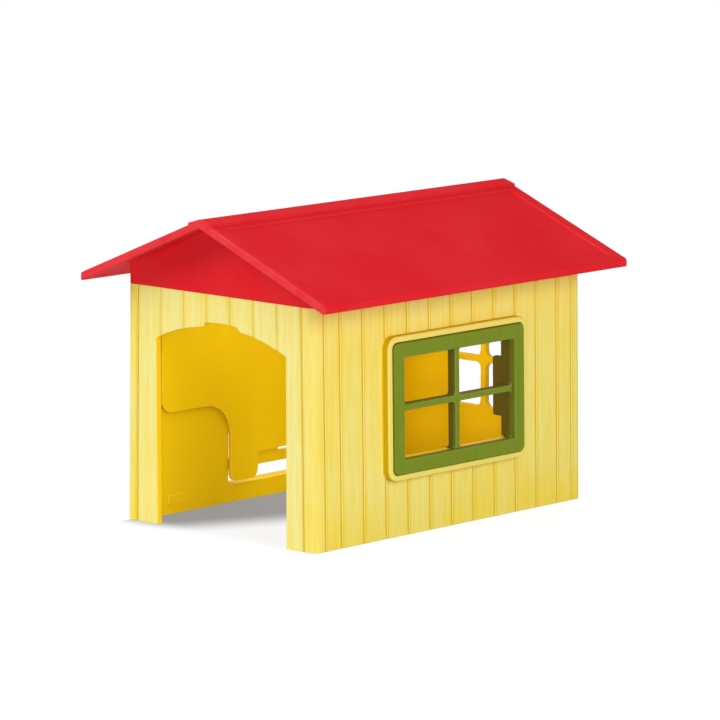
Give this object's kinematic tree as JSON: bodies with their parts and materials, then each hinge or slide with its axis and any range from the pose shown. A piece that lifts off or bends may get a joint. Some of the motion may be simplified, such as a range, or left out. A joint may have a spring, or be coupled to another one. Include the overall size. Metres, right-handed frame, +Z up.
{
  "type": "toy dog kennel",
  "caption": "Toy dog kennel with planked walls, an arched doorway, a framed side window, a hanging side hatch and a lift-off gable roof.",
  "frame": {"origin": "centre of the bounding box at floor level, on the plane that the walls stand on", "axes": "+X towards the side wall with the framed window, -Y towards the doorway, +Z up"},
  "size_m": [0.084, 0.112, 0.0794],
  "materials": {
    "wall_plastic": "satin, dry-brushed wood grain",
    "inner_plastic": "satin",
    "frame_plastic": "satin",
    "roof_plastic": "satin gloss",
    "pin_plastic": "satin"
  },
  "bodies": {
    "base": {"front_wall": "wall_plastic", "back_wall": "wall_plastic", "left_wall": "wall_plastic", "right_wall": "wall_plastic", "window_frame": "frame_plastic", "hatch_frame": "inner_plastic", "hinge_rod": "pin_plastic"},
    "hatch": {"side_hatch": "inner_plastic"},
    "lid": {"roof": "roof_plastic"}
  },
  "joints": [
    {"name": "hatch_swing", "type": "hinge", "parent": "base", "child": "hatch", "pos_m": [-0.02795, 0, 0.0532], "axis": [0, -1, 0], "range_deg": [0, 75]},
    {"name": "roof_lift", "type": "slide", "parent": "base", "child": "lid", "axis": [0, 0, 1], "range_m": [0, 0.03]}
  ]
}
